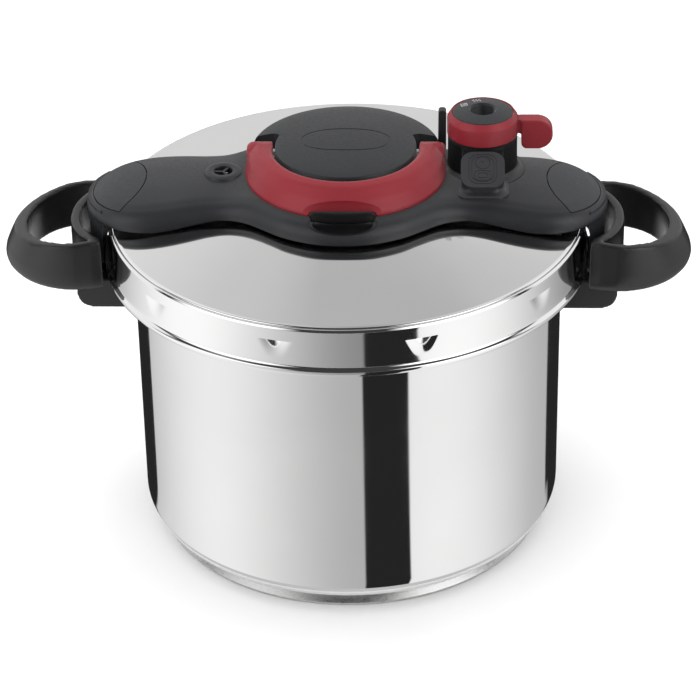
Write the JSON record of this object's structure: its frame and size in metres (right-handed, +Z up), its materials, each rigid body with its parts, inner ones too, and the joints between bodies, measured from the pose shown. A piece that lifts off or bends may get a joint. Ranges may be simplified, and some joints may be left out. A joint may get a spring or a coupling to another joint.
{
  "type": "pressure cooker",
  "caption": "Jaw-locked pressure cooker with a polished steel pot, a banded lid, a red opening arch, a steam valve knob and folding side handles.",
  "frame": {"origin": "centre of the pot's underside, on the surface it stands on", "axes": "+Z up along the pot's axis, +X through the right side handle and along the lid's bar, -Y towards the red arch's grip"},
  "size_m": [0.356, 0.2514, 0.2315],
  "materials": {
    "polished_steel": "mirror polished stainless",
    "machined_steel": "plain machined steel",
    "satin_black": "fine grained satin",
    "gloss_black": "semi gloss",
    "soft_touch": "soft-touch matte",
    "red_plastic": "satin",
    "seal_rubber": "smooth silicone"
  },
  "bodies": {
    "pot": {"pot_body": "polished_steel", "base_disc": "polished_steel", "bracket_left": "gloss_black", "bracket_right": "gloss_black", "bracket_screws": "machined_steel", "handle_pins": "machined_steel"},
    "lid": {"lid_shell": "polished_steel", "lid_band": "polished_steel", "gasket": "seal_rubber", "housing": "satin_black", "housing_screws": "machined_steel", "end_pad_left": "soft_touch", "end_pad_right": "soft_touch", "hub_cap": "satin_black", "arm_guides": "satin_black", "valve_tower": "satin_black", "valve_nozzle": "machined_steel", "nozzle_nut": "machined_steel", "valve_spring": "machined_steel", "position_fin": "satin_black", "dock_pad": "soft_touch", "vent_grille": "satin_black", "pin_bush": "seal_rubber", "safety_valve": "machined_steel", "safety_nut": "machined_steel", "safety_spring": "machined_steel"},
    "handle_left": {"fold_handle_left": "gloss_black"},
    "handle_right": {"fold_handle_right": "gloss_black"},
    "opening_arch": {"opening_handle": "red_plastic", "grip_lip": "satin_black", "cam_shaft": "machined_steel"},
    "jaw_left": {"jaw_left": "machined_steel", "jaw_arm_left": "machined_steel"},
    "jaw_right": {"jaw_right": "machined_steel", "jaw_arm_right": "machined_steel"},
    "knob": {"knob_ring": "red_plastic", "knob_cap": "satin_black"},
    "poppet": {"valve_poppet": "machined_steel"},
    "lock_pin": {"lock_pin": "machined_steel"},
    "relief_plunger": {"safety_plunger": "machined_steel"}
  },
  "joints": [
    {"name": "lid_lift", "type": "slide", "parent": "pot", "child": "lid", "axis": [0, 0, 1], "range_m": [0, 0.12]},
    {"name": "arch_hinge", "type": "hinge", "parent": "lid", "child": "opening_arch", "pos_m": [0, 0.005, 0.2065], "axis": [-1, 0, 0], "range_deg": [0, 85]},
    {"name": "jaw_left_slide", "type": "slide", "parent": "lid", "child": "jaw_left", "axis": [-1, 0, 0], "range_m": [0, 0.0036]},
    {"name": "jaw_right_slide", "type": "slide", "parent": "lid", "child": "jaw_right", "axis": [1, 0, 0], "range_m": [0, 0.0036]},
    {"name": "knob_turn", "type": "hinge", "parent": "lid", "child": "knob", "pos_m": [0.0697, 0.008, 0.22], "axis": [0, 0, 1], "range_deg": [0, 90]},
    {"name": "poppet_lift", "type": "slide", "parent": "lid", "child": "poppet", "axis": [0, 0, 1], "range_m": [0, 0.002], "stiffness_N_per_m": 600, "springref_m": -0.002, "deforming": ["valve_spring"]},
    {"name": "pressure_pin_lift", "type": "slide", "parent": "lid", "child": "lock_pin", "axis": [0, 0, 1], "range_m": [0, 0.003]},
    {"name": "relief_lift", "type": "slide", "parent": "lid", "child": "relief_plunger", "axis": [0, 0, 1], "range_m": [0, 0.0015], "stiffness_N_per_m": 1500, "springref_m": -0.002, "deforming": ["safety_spring"]},
    {"name": "handle_left_fold", "type": "hinge", "parent": "pot", "child": "handle_left", "pos_m": [-0.131, 0, 0.141], "axis": [0, -1, 0], "range_deg": [0, 90]},
    {"name": "handle_right_fold", "type": "hinge", "parent": "pot", "child": "handle_right", "pos_m": [0.131, 0, 0.141], "axis": [0, 1, 0], "range_deg": [0, 90]}
  ],
  "couplings": [
    {"joint": "jaw_left_slide", "follows": "arch_hinge", "m_per_rad": 0.0024242},
    {"joint": "jaw_right_slide", "follows": "arch_hinge", "m_per_rad": 0.0024242}
  ]
}
